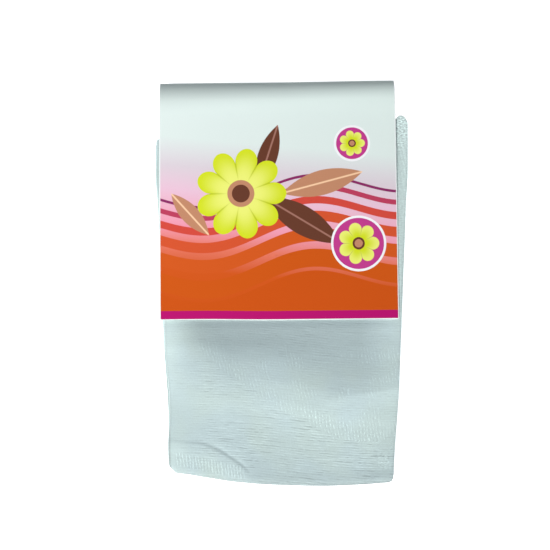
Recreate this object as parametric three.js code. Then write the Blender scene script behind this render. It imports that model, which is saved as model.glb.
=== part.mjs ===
// A knitted durag folded flat inside a folded header card, lying on its back.
// +X is right across the card, +Y runs up the pack to the card's fold and
// +Z comes out of the printed front. All lengths are millimetres, and the origin
// is the middle of the pack's outline on the surface that it lies on.
//
// The cloth is stacked like this, from the surface up: two layers of the crown
// panel, the runs of the two ties side by side, and two more layers of the crown
// panel. The crown is doubled about its middle, which is the rounded fold down the
// right side, and then folded up at the foot, so it wraps the ties on three sides.

import * as THREE from 'three';

// Driving dimensions of the header card
const CARD_WIDTH = 140;
const CARD_LENGTH = 141.8;
const CARD_BOARD = 0.5;
const CARD_FOLD_LENGTH = 12.5;
const CARD_TURN = THREE.MathUtils.degToRad(0.6);
const CARD_SHIFT = -1.3;

// Driving dimensions of the folded cloth
const CLOTH_WIDTH = 150;
const CLOTH_BELOW_CARD = 99.1;
const CLOTH_TOP_CLEARANCE = 22;
const CLOTH_WALL = 1;
const HEM_SETBACK = 1.4;
const BACK_SETBACK = 2;

// Driving dimensions of the ties, which are folded to and fro inside the crown
const TIE_WIDTH = 63;
const TIE_RUNS = 4;
const TIE_MIDDLE_GAP = 4;
const TIE_TOP_SETBACK = 9;
const TIE_FOOT_CLEARANCE = 2.5;
const TIE_CREASE_CLEARANCE = 7;

// Clearance between two layers, and between the cloth and the card
const LAYER_GAP = 0.3;

// Heights of the folded cloth's relief
const SWELL_RISE = 5.6;
const CARD_BOW = 0.7;
const RIDGE_RISE = 0.6;
const CREASE_DROP = 1.9;
const CREASE_START = 1.5;
const CREASE_END = 20;
const HEM_SINK = 1.2;
const STEP_LENGTH = 12;

// What follows from them: the cloth reaches from its foot to just under the card's fold
const CLOTH_LENGTH = CLOTH_BELOW_CARD + CARD_LENGTH - CLOTH_TOP_CLEARANCE;
const PITCH = CLOTH_WALL + LAYER_GAP;
const CROWN_LAYERS = 4;
const STACK_HEIGHT = (CROWN_LAYERS + TIE_RUNS) * PITCH - LAYER_GAP;
const STACK_MIDDLE = STACK_HEIGHT / 2;
const PAIR_HEIGHT = 2 * CLOTH_WALL + LAYER_GAP;
const SPINE_RADIUS = STACK_MIDDLE - PAIR_HEIGHT / 2;
const HALF_PITCH = PITCH / 2;
const FOOT_RADIUS = STACK_MIDDLE;
const SEAT = CARD_BOARD + LAYER_GAP;

const PACK_LENGTH = CARD_LENGTH + CLOTH_BELOW_CARD;
const FOOT_Y = -PACK_LENGTH / 2;
const CARD_EDGE_Y = FOOT_Y + CLOTH_BELOW_CARD;
const CARD_FOLD_Y = CARD_EDGE_Y + CARD_LENGTH;
const CARD_EDGE_SHARE = CLOTH_BELOW_CARD / CLOTH_LENGTH;

// The cloth's sides: half widths to the left and right, as shares of half CLOTH_WIDTH,
// by the share of CLOTH_LENGTH above the foot.
const SIDES = [
  { along: 0.00, left: 0.863, right: 0.881 },
  { along: 0.06, left: 0.867, right: 0.886 },
  { along: 0.14, left: 0.878, right: 0.899 },
  { along: 0.22, left: 0.885, right: 0.913 },
  { along: 0.31, left: 0.903, right: 0.929 },
  { along: 0.39, left: 0.921, right: 0.942 },
  { along: 0.45, left: 0.932, right: 0.952 },
  { along: 0.56, left: 0.948, right: 0.966 },
  { along: 0.67, left: 0.964, right: 0.981 },
  { along: 0.76, left: 0.976, right: 0.992 },
  { along: 0.85, left: 0.997, right: 1.000 },
  { along: 1.00, left: 1.000, right: 1.000 },
];

// The cloth's two ends across its width, from -1 at the left side to 1 at the right:
// how far the foot rises and how far the top falls, as shares of CLOTH_LENGTH.
const ENDS = [
  { across: -1.00, foot: 0.060, top: 0.062 },
  { across: -0.94, foot: 0.036, top: 0.048 },
  { across: -0.84, foot: 0.031, top: 0.044 },
  { across: -0.63, foot: 0.020, top: 0.040 },
  { across: -0.40, foot: 0.010, top: 0.034 },
  { across: 0.00, foot: 0.002, top: 0.030 },
  { across: 0.37, foot: 0.000, top: 0.028 },
  { across: 0.70, foot: 0.003, top: 0.034 },
  { across: 0.86, foot: 0.006, top: 0.030 },
  { across: 0.91, foot: 0.008, top: 0.012 },
  { across: 0.955, foot: 0.011, top: 0.000 },
  { across: 1.00, foot: 0.022, top: 0.016 },
];

// Relief along the cloth: the swell below the card as a share of SWELL_RISE and the
// bow of the cloth under the card as a share of CARD_BOW.
const SWELL = [
  { along: 0.000, swell: 0.00, bow: 0.0 },
  { along: 0.030, swell: 0.03, bow: 0.0 },
  { along: 0.076, swell: 0.07, bow: 0.0 },
  { along: 0.140, swell: 0.21, bow: 0.0 },
  { along: 0.194, swell: 0.46, bow: 0.0 },
  { along: 0.258, swell: 0.88, bow: 0.0 },
  { along: 0.300, swell: 1.00, bow: 0.0 },
  { along: 0.343, swell: 0.93, bow: 0.0 },
  { along: 0.391, swell: 0.64, bow: 0.0 },
  { along: 0.430, swell: 0.25, bow: 0.1 },
  { along: 0.446, swell: 0.03, bow: 0.2 },
  { along: 0.460, swell: 0.00, bow: 0.3 },
  { along: 0.620, swell: 0.00, bow: 0.9 },
  { along: 0.760, swell: 0.00, bow: 1.0 },
  { along: 0.900, swell: 0.00, bow: 0.5 },
  { along: 1.000, swell: 0.00, bow: 0.0 },
];

// How much of the swell there is across the cloth: it is thin at the open hems on the
// left and stays full to the fold on the right.
const PILLOW = [
  { across: -1.00, share: 0.06 },
  { across: -0.94, share: 0.28 },
  { across: -0.84, share: 0.56 },
  { across: -0.73, share: 0.78 },
  { across: -0.58, share: 0.94 },
  { across: -0.44, share: 1.00 },
  { across: 0.70, share: 1.00 },
  { across: 0.86, share: 0.92 },
  { across: 1.00, share: 0.72 },
];

// The curved crease over the ends of the ties at the lower left: its height above the
// foot as a share of CLOTH_LENGTH. Past its last row it has run out at the foot.
const CREASE = [
  { across: -1.00, along: 0.126 },
  { across: -0.84, along: 0.122 },
  { across: -0.72, along: 0.117 },
  { across: -0.58, along: 0.098 },
  { across: -0.44, along: 0.067 },
  { across: -0.33, along: 0.050 },
  { across: -0.28, along: 0.034 },
  { across: -0.24, along: -0.040 },
];

// The soft ridge at the lower right, from where it starts to the right side
const RIDGE = { start: 0.35, full: 0.7, along: 0.248, width: 0.07 };

// Where the cloth is cut into facets, across it and along it
const ACROSS = [
  -1, -0.94, -0.84, -0.73, -0.58, -0.44, -0.33, -0.18, 0.02, 0.25, 0.48, 0.7, 0.86, 0.91, 0.955, 1,
];
const ALONG = [
  0, 0.03, 0.065, 0.105, 0.145, 0.19, 0.24, 0.285, 0.33, 0.37, 0.405, 0.432, 0.448,
  0.52, 0.62, 0.73, 0.86, 0.95, 1,
];
const LEAST_ROW = 0.003;
const ARC_STEPS = 8;
const HEM_FOLD_STEPS = 4;

// Materials
const CLOTH_COLOUR = 0xc8dcdc;
const TIE_COLOUR = 0xbcd0d0;
const CARD_COLOUR = 0xe4f0ea;

const clothMaterial = new THREE.MeshStandardMaterial({ color: CLOTH_COLOUR, roughness: 0.9, metalness: 0 });
const tieMaterial = new THREE.MeshStandardMaterial({ color: TIE_COLOUR, roughness: 0.9, metalness: 0 });
const cardMaterial = new THREE.MeshStandardMaterial({ color: CARD_COLOUR, roughness: 0.35, metalness: 0 });

const { clamp, lerp, smoothstep, inverseLerp } = THREE.MathUtils;

// The value of one column of a table, read straight between its rows.
function readTable(table, key, column, at) {
  const last = table.length - 1;
  const next = clamp(table.findIndex((row) => row[key] >= at), 1, last);
  const upper = at > table[last][key] ? last : next;
  const share = clamp(inverseLerp(table[upper - 1][key], table[upper][key], at), 0, 1);
  return lerp(table[upper - 1][column], table[upper][column], share);
}

// How much the swelling of the stack lifts a layer: nothing in the lower pair of
// crown layers, everything in the upper pair and a growing share through the ties.
function liftShare(height) {
  return clamp(inverseLerp(PAIR_HEIGHT, STACK_HEIGHT - PAIR_HEIGHT, height), 0, 1);
}

// Where the cloth's foot fold starts and where its top lies, at a share across it
function clothSpan(across) {
  const inset = clamp(across, -1, 1);
  const foot = FOOT_Y + FOOT_RADIUS + readTable(ENDS, 'across', 'foot', inset) * CLOTH_LENGTH;
  const top = FOOT_Y + CLOTH_LENGTH * (1 - readTable(ENDS, 'across', 'top', inset));
  return { foot, top };
}

// The stack's swell, ridge, crease and thin left edge, where two facet lines cross
function reliefAt(across, row) {
  const { foot, top } = clothSpan(across);
  const along = (lerp(foot, top, row) - FOOT_Y) / CLOTH_LENGTH;
  const body = 1 - 0.6 * Math.abs(clamp(across, -1, 1)) ** 3;
  const pillow = readTable(PILLOW, 'across', 'share', across);
  const swell = SWELL_RISE * readTable(SWELL, 'along', 'swell', along) * pillow;
  const bow = CARD_BOW * readTable(SWELL, 'along', 'bow', along) * body;
  const ridgeSide = smoothstep(across, RIDGE.start, RIDGE.full);
  const ridge = RIDGE_RISE * ridgeSide * Math.exp(-(((along - RIDGE.along) / RIDGE.width) ** 2));
  const belowCrease = (readTable(CREASE, 'across', 'along', across) - along) * CLOTH_LENGTH;
  const crease = CREASE_DROP * smoothstep(belowCrease, CREASE_START, CREASE_END);
  const hem = HEM_SINK * smoothstep(-across, 0.8, 1);
  return swell + bow + ridge - crease - hem;
}

// The two facet lines on either side of a share, and how far it lies between them
function between(lines, at) {
  const next = clamp(lines.findIndex((line) => line >= at), 1, lines.length - 1);
  const share = clamp(inverseLerp(lines[next - 1], lines[next], at), 0, 1);
  return { lower: lines[next - 1], upper: lines[next], share };
}

// The relief anywhere, which is straight between the facet lines so that every layer
// of the stack is cut into the same facets.
function relief(across, along) {
  const column = between(ACROSS, across);
  const row = between(ALONG, along);
  const left = lerp(reliefAt(column.lower, row.lower), reliefAt(column.lower, row.upper), row.share);
  const right = lerp(reliefAt(column.upper, row.lower), reliefAt(column.upper, row.upper), row.share);
  return lerp(left, right, column.share);
}

// The height of the card's back panel under the cloth, which the cloth steps down from.
function seatHeight(y) {
  return SEAT * smoothstep(y, CARD_EDGE_Y - STEP_LENGTH, CARD_EDGE_Y - LAYER_GAP);
}

// Puts one point of the flat stack where the folded cloth has it. across and along are
// shares of the cloth's outline, dx and dy are lengths past them, and height is in the stack.
function placeCloth({ across, dx, along, dy, height }) {
  const { foot, top } = clothSpan(across);
  const y = lerp(foot, top, along) + dy;
  const side = readTable(SIDES, 'along', across < 0 ? 'left' : 'right', (y - FOOT_Y) / CLOTH_LENGTH);
  const x = (across * CLOTH_WIDTH) / 2 * side + dx;
  return new THREE.Vector3(x, y, seatHeight(y) + height + relief(across, along) * liftShare(height));
}

// Puts one point of the card's section in place, over the cloth's relief, and turns it.
function placeCard({ across, dx, along, dy, height }) {
  const x = (across * CARD_WIDTH) / 2 + dx;
  const y = lerp(CARD_EDGE_Y, CARD_FOLD_Y - CARD_FOLD_LENGTH, along) + dy;
  const share = Math.max((y - FOOT_Y) / CLOTH_LENGTH, CARD_EDGE_SHARE);
  const bow = CARD_BOW * readTable(SWELL, 'along', 'bow', share) * (1 - 0.6 * Math.abs(across) ** 3);
  const middle = (CARD_EDGE_Y + CARD_FOLD_Y) / 2;
  const point = new THREE.Vector3(x, y - middle, SEAT + height + bow * liftShare(height));
  point.applyAxisAngle(new THREE.Vector3(0, 0, 1), CARD_TURN);
  point.x += CARD_SHIFT;
  point.y += middle;
  return point;
}

// A sheet of an even wall: a section across it is carried along a path, and each of the
// sheet's two faces lies half a wall from it. A section point has its offset from the path
// and its own normal, and a path point has its place and its normal in the YZ plane.
function sheetGeometry(section, path, wall, place) {
  const columns = section.length;
  const rows = path.length;
  const positions = [];
  for (const side of [0.5, -0.5]) {
    for (const step of path) {
      for (const { across, dx, offset, normalX, normalOut } of section) {
        const out = offset + side * wall * normalOut;
        positions.push(...place({
          across,
          dx: dx + side * wall * normalX + (step.hemShift ?? 0) * Math.min(across, 0) ** 8,
          along: step.along(across),
          dy: step.dy + out * step.normalY,
          height: step.height + out * step.normalZ,
        }).toArray());
      }
    }
  }
  const faces = [];
  const corner = (side, row, column) => (side * rows + row) * columns + column;
  const addQuad = (a, b, c, d) => faces.push(a, b, c, a, c, d);
  for (let row = 0; row < rows - 1; row += 1) {
    for (let column = 0; column < columns - 1; column += 1) {
      const ring = [[row, column], [row, column + 1], [row + 1, column + 1], [row + 1, column]];
      const [a, b, c, d] = ring.map(([r, k]) => corner(0, r, k));
      const [e, f, g, h] = ring.map(([r, k]) => corner(1, r, k));
      faces.push(a, b, c, a, c, d);
      faces.push(e, g, f, e, h, g);
    }
  }
  for (let row = 0; row < rows - 1; row += 1) {
    const last = columns - 1;
    addQuad(corner(0, row, 0), corner(0, row + 1, 0), corner(1, row + 1, 0), corner(1, row, 0));
    addQuad(corner(0, row + 1, last), corner(0, row, last), corner(1, row, last), corner(1, row + 1, last));
  }
  for (let column = 0; column < columns - 1; column += 1) {
    const last = rows - 1;
    addQuad(corner(0, 0, column + 1), corner(0, 0, column), corner(1, 0, column), corner(1, 0, column + 1));
    const [nearOuter, nearInner] = [corner(0, last, column), corner(1, last, column)];
    addQuad(nearOuter, corner(0, last, column + 1), corner(1, last, column + 1), nearInner);
  }
  const geometry = new THREE.BufferGeometry();
  geometry.setAttribute('position', new THREE.Float32BufferAttribute(positions, 3));
  geometry.setIndex(faces);
  geometry.computeVertexNormals();
  return geometry;
}

// The crown doubled about its middle: the outer layer from the left hem to the right
// fold, round that fold, and the inner layer back to its own hem.
function crownSection() {
  const foldInset = HALF_PITCH + CLOTH_WALL / 2;
  const outer = ACROSS.map((across) => ({
    across, dx: 0, offset: HALF_PITCH, normalX: 0, normalOut: 1,
  }));
  const inner = ACROSS.map((across) => ({
    across, dx: 0, offset: -HALF_PITCH, normalX: 0, normalOut: -1,
  })).reverse();
  outer.at(-1).dx = -foldInset;
  inner[0].dx = -foldInset;
  inner.at(-1).dx = HEM_SETBACK / 2;
  const fold = [];
  for (let step = 1; step < HEM_FOLD_STEPS; step += 1) {
    const angle = Math.PI * (0.5 - step / HEM_FOLD_STEPS);
    fold.push({
      across: 1,
      dx: HALF_PITCH * Math.cos(angle) - foldInset,
      offset: HALF_PITCH * Math.sin(angle),
      normalX: Math.cos(angle),
      normalOut: Math.sin(angle),
    });
  }
  return [...outer, ...fold, ...inner];
}

// The crown's path: down the back from its end, round the foot and up the front.
function crownPath() {
  const backEnd = 1 - BACK_SETBACK / CLOTH_LENGTH;
  const back = [...ALONG].reverse().map((share) => ({
    along: () => share * backEnd,
    dy: 0,
    height: STACK_MIDDLE - SPINE_RADIUS,
    normalY: 0,
    normalZ: -1,
  }));
  const foot = [];
  for (let step = 1; step < ARC_STEPS; step += 1) {
    const angle = Math.PI * (step / ARC_STEPS - 0.5);
    foot.push({
      along: () => 0,
      dy: -SPINE_RADIUS * Math.cos(angle),
      height: STACK_MIDDLE + SPINE_RADIUS * Math.sin(angle),
      normalY: -Math.cos(angle),
      normalZ: Math.sin(angle),
    });
  }
  const front = ALONG.map((share) => ({
    along: () => share,
    dy: 0,
    height: STACK_MIDDLE + SPINE_RADIUS,
    normalY: 0,
    normalZ: 1,
  }));
  const rows = [...back, ...foot, ...front];
  rows.forEach((row, index) => {
    row.hemShift = HEM_SETBACK * smoothstep(index / (rows.length - 1), 0.35, 0.65);
  });
  return rows;
}

// One tie's section, at a share across the cloth, from its inner edge or outer edge
function tieSection(side) {
  const inner = TIE_MIDDLE_GAP / CLOTH_WIDTH;
  const outer = inner + (2 * TIE_WIDTH) / CLOTH_WIDTH;
  const between = ACROSS.map((across) => side * across)
    .filter((across) => across > inner && across < outer);
  const shares = [inner, ...between.sort((a, b) => a - b), outer].map((across) => side * across);
  shares.sort((a, b) => a - b);
  return shares.map((across) => ({ across, dx: 0, offset: 0, normalX: 0, normalOut: 1 }));
}

// Where a tie's runs end above the foot: clear of the crown's inner layer, and of the
// crease at the lower left, whose drop the cloth takes beyond them.
function tieFoot(across) {
  const aboveFoot = (TIE_FOOT_CLEARANCE + HALF_PITCH) / CLOTH_LENGTH;
  const crease = readTable(CREASE, 'across', 'along', across) + TIE_CREASE_CLEARANCE / CLOTH_LENGTH;
  const rise = (clothSpan(across).foot - FOOT_Y) / CLOTH_LENGTH;
  return Math.max(aboveFoot, crease - rise + HALF_PITCH / CLOTH_LENGTH);
}

// A tie's path: runs up and down the stack, joined by tight folds at the ends.
function tiePath() {
  const topEnd = 1 - TIE_TOP_SETBACK / CLOTH_LENGTH;
  const topRow = (ALONG.length - 1) * LEAST_ROW;
  const path = [];
  for (let run = 0; run < TIE_RUNS; run += 1) {
    const upward = run % 2 === 0;
    const height = PAIR_HEIGHT + LAYER_GAP + CLOTH_WALL / 2 + run * PITCH;
    const rows = ALONG.map((share, index) => ({ share, least: index * LEAST_ROW }));
    for (const { share, least } of upward ? rows : rows.reverse()) {
      path.push({
        along: (across) => Math.min(Math.max(share, tieFoot(across) + least), topEnd - topRow + least),
        dy: 0,
        height,
        normalY: 0,
        normalZ: upward ? 1 : -1,
      });
    }
    if (run < TIE_RUNS - 1) {
      for (let step = 1; step < HEM_FOLD_STEPS; step += 1) {
        const angle = Math.PI * (step / HEM_FOLD_STEPS - 0.5);
        const outward = upward ? 1 : -1;
        path.push({
          along: (across) => (upward ? topEnd : tieFoot(across)),
          dy: outward * HALF_PITCH * Math.cos(angle),
          height: height + HALF_PITCH + HALF_PITCH * Math.sin(angle),
          normalY: -Math.cos(angle),
          normalZ: -Math.sin(angle) * outward,
        });
      }
    }
  }
  return path;
}

// The card's section, and its path: up the front, round the fold and down the back.
function cardSection() {
  const shares = [-1, -0.75, -0.5, -0.2, 0.2, 0.5, 0.75, 1];
  return shares.map((across) => ({ across, dx: 0, offset: 0, normalX: 0, normalOut: 1 }));
}

function cardPath() {
  const backHeight = CARD_BOARD / 2 - SEAT;
  const frontHeight = STACK_HEIGHT + LAYER_GAP + CARD_BOARD / 2;
  const middle = (backHeight + frontHeight) / 2;
  const halfHeight = (frontHeight - backHeight) / 2;
  const reach = CARD_FOLD_LENGTH - CARD_BOARD / 2;
  const shares = [0, 0.15, 0.3, 0.5, 0.7, 0.85, 1];
  const front = shares.map((share) => ({
    along: () => share, dy: 0, height: frontHeight, normalY: 0, normalZ: 1,
  }));
  const fold = [];
  for (let step = 1; step < 2 * ARC_STEPS; step += 1) {
    const angle = Math.PI * (0.5 - step / (2 * ARC_STEPS));
    const normal = new THREE.Vector2(Math.cos(angle) / reach, Math.sin(angle) / halfHeight).normalize();
    fold.push({
      along: () => 1,
      dy: reach * Math.cos(angle),
      height: middle + halfHeight * Math.sin(angle),
      normalY: normal.x,
      normalZ: normal.y,
    });
  }
  const back = [...shares].reverse().map((share) => ({
    along: () => share, dy: 0, height: backHeight, normalY: 0, normalZ: -1,
  }));
  return [...front, ...fold, ...back];
}

function namedMesh(name, geometry, material) {
  const mesh = new THREE.Mesh(geometry, material);
  mesh.name = name;
  return mesh;
}

const crownGeometry = sheetGeometry(crownSection(), crownPath(), CLOTH_WALL, placeCloth);
const leftTieGeometry = sheetGeometry(tieSection(-1), tiePath(), CLOTH_WALL, placeCloth);
const rightTieGeometry = sheetGeometry(tieSection(1), tiePath(), CLOTH_WALL, placeCloth);
const cardGeometry = sheetGeometry(cardSection(), cardPath(), CARD_BOARD, placeCard);

const pack = new THREE.Group();
pack.add(namedMesh('crown_panel', crownGeometry, clothMaterial));
pack.add(namedMesh('left_tie', leftTieGeometry, tieMaterial));
pack.add(namedMesh('right_tie', rightTieGeometry, tieMaterial));
pack.add(namedMesh('header_card', cardGeometry, cardMaterial));

// The origin is the middle of the outline, on the surface that the pack lies on
const outline = new THREE.Box3().setFromObject(pack);
const outlineMiddle = outline.getCenter(new THREE.Vector3());
pack.position.set(-outlineMiddle.x, -outlineMiddle.y, -outline.min.z);
pack.updateMatrixWorld(true);

export default pack;
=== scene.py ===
"""A pale knitted durag folded flat inside a printed header card, dressed for a studio picture.

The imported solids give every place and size. The crown panel and the two ties are made again
here as thin knit with rounded folds, hems and the soft relief of a full pack, and the card as
curled board with print, coat and bare cut edges. Shapes are worked out in millimetres and
turned into metres where a mesh is made.
"""

import logging
import math
from collections.abc import Sequence
from dataclasses import dataclass, field
from enum import Enum

import bpy
import numpy as np
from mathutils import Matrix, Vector


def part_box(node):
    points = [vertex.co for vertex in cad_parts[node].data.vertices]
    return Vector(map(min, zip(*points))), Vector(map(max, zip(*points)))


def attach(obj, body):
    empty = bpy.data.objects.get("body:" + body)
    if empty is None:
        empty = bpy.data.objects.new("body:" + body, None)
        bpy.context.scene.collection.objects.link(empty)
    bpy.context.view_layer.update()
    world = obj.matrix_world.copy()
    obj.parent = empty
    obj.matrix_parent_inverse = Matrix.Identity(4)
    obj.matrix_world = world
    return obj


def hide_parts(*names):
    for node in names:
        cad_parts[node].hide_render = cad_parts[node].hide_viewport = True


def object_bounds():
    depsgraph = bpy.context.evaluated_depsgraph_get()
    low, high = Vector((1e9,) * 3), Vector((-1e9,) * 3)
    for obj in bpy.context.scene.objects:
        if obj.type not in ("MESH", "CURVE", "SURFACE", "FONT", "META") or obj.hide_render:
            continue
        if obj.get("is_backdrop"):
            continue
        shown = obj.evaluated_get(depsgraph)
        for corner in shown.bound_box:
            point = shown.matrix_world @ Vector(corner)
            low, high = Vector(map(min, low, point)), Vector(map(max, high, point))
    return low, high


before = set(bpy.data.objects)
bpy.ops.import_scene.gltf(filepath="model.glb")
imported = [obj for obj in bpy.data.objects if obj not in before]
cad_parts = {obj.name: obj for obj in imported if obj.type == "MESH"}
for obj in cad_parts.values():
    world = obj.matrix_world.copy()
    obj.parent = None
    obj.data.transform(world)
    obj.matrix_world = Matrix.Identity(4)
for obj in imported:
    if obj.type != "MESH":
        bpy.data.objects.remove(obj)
CAD_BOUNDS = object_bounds()

MM = 0.001
BODY = "root"
# How much brighter the studio's lights make a flat surface than its own colour.
LIGHT_LEVEL = 1.14
# The knit's thickness, and how far its rounded cut edge reaches past its sheet, in millimetres.
KNIT_WALL = 0.6
KNIT_RIM = 0.25
# A place on the fine crease across the lower right corner, and the way from it to the corner.
CORNER_CREASE = (67.0, -81.0)
CORNER_WAY = (0.788, -0.616)
Colour = tuple[float, float, float]
Rises = tuple[tuple[float, float], ...]
log = logging.getLogger("durag_pack")


class Slot(Enum):
    """The record's material slots."""

    CROWN = "crown_knit"
    TIE = "tie_knit"
    CARD = "printed_card"


class Side(Enum):
    """The side of the pack that a tie lies on, with the sign of its place across."""

    LEFT = -1
    RIGHT = 1


class Table:
    """Rows with named columns, read smoothly between the rows by the first column."""

    def __init__(self, names: Sequence[str], rows: Sequence[Sequence[float]]) -> None:
        """Keeps the columns by name.

        Args:
            names: the columns' names, the key column first.
            rows: one sequence of numbers for each row, in rising order of the key.
        """
        self.keys = np.array([row[0] for row in rows], float)
        self.columns = {name: np.array([row[i] for row in rows], float) for i, name in enumerate(names)}

    def read(self, column: str, at: np.ndarray) -> np.ndarray:
        """Reads one column with a monotone cubic, so that nothing overshoots its rows.

        Args:
            column: the column's name.
            at: the key's values.

        Returns:
            The column's values there, held level past both ends.
        """
        keys, values = self.keys, self.columns[column]
        steps = np.diff(keys)
        slopes = np.diff(values) / steps
        turns = np.zeros(len(keys))
        same_way = slopes[:-1] * slopes[1:] > 0
        both = np.where(same_way, slopes[:-1] + slopes[1:], 1.0)
        turns[1:-1] = np.where(same_way, 2 * slopes[:-1] * slopes[1:] / both, 0.0)
        turns[0], turns[-1] = slopes[0], slopes[-1]
        place = np.clip(np.asarray(at, float), keys[0], keys[-1])
        cell = np.clip(np.searchsorted(keys, place, side="right") - 1, 0, len(steps) - 1)
        t = (place - keys[cell]) / steps[cell]
        start, end = values[cell], values[cell + 1]
        leave, arrive = turns[cell] * steps[cell], turns[cell + 1] * steps[cell]
        return (
            (2 * t**3 - 3 * t**2 + 1) * start
            + (t**3 - 2 * t**2 + t) * leave
            + (3 * t**2 - 2 * t**3) * end
            + (t**3 - t**2) * arrive
        )


def smooth(value: np.ndarray, low: float, high: float) -> np.ndarray:
    """Rises smoothly from 0 at low to 1 at high.

    Args:
        value: the numbers to test.
        low: where the rise starts.
        high: where it ends.

    Returns:
        The share of the rise at each number.
    """
    t = np.clip((np.asarray(value, float) - low) / (high - low), 0, 1)
    return t * t * (3 - 2 * t)


def hump(value: np.ndarray, middle: float, width: float) -> np.ndarray:
    """A bell of height 1 at middle, with the given width to its shoulder."""
    return np.exp(-(((np.asarray(value, float) - middle) / width) ** 2))


def lopsided(value: np.ndarray, low_width: float, high_width: float) -> np.ndarray:
    """A bell of height 1 at 0, with its own width on each side."""
    return np.where(value < 0, hump(value, 0, low_width), hump(value, 0, high_width))


def crisp(distance: np.ndarray, width: float, rounding: float = 0.7) -> np.ndarray:
    """A share that falls from 1 at once, and reaches 0 gently at a width."""
    share = np.clip((np.hypot(distance, rounding) - rounding) / width, 0.0, 1.0)
    return (1 - share) ** 1.5


def signed_power(value: np.ndarray, exponent: float) -> np.ndarray:
    """A power of the size of each number, with the number's sign."""
    return np.sign(value) * np.abs(value) ** exponent


def clustered(stops: Sequence[tuple[float, float, int]]) -> np.ndarray:
    """Rising numbers in runs: each stop has its start, end and count of steps."""
    runs = [np.linspace(start, end, steps, endpoint=False) for start, end, steps in stops]
    return np.concatenate([*runs, [stops[-1][1]]])


def past_corner(x: "np.ndarray | Wire", y: "np.ndarray | Wire") -> "np.ndarray | Wire":
    """How far past the lower right corner's fine crease a place lies, in millimetres."""
    return (x - CORNER_CREASE[0]) * CORNER_WAY[0] + (y - CORNER_CREASE[1]) * CORNER_WAY[1]


@dataclass(frozen=True)
class Unevenness:
    """Soft noise over the pack, the same on every run.

    Attributes:
        seed: which pattern it is.
        pitch_x: the length of one swell across the pack, in millimetres.
        pitch_y: the length of one swell along it.
        cells: how many swells there are before the pattern repeats.
    """

    seed: int
    pitch_x: float
    pitch_y: float
    cells: int = 64

    def at(self, x: np.ndarray, y: np.ndarray) -> np.ndarray:
        """Reads the noise.

        Args:
            x: places across the pack, in millimetres.
            y: places along it.

        Returns:
            The noise there, from -1 to 1.
        """
        lattice = np.random.default_rng(self.seed).uniform(-1, 1, (self.cells, self.cells))
        grid_x, grid_y = x / self.pitch_x, y / self.pitch_y
        column, row = np.floor(grid_x).astype(int), np.floor(grid_y).astype(int)
        share_x, share_y = (s**3 * (s * (6 * s - 15) + 10) for s in (grid_x - column, grid_y - row))
        corner = lambda i, j: lattice[(column + i) % self.cells, (row + j) % self.cells]
        low = corner(0, 0) * (1 - share_x) + corner(1, 0) * share_x
        high = corner(0, 1) * (1 - share_x) + corner(1, 1) * share_x
        return low * (1 - share_y) + high * share_y


def box_mm(node: str) -> tuple[Vector, Vector]:
    """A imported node's lowest and highest corners, in millimetres."""
    low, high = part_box(node)
    return low / MM, high / MM


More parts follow.
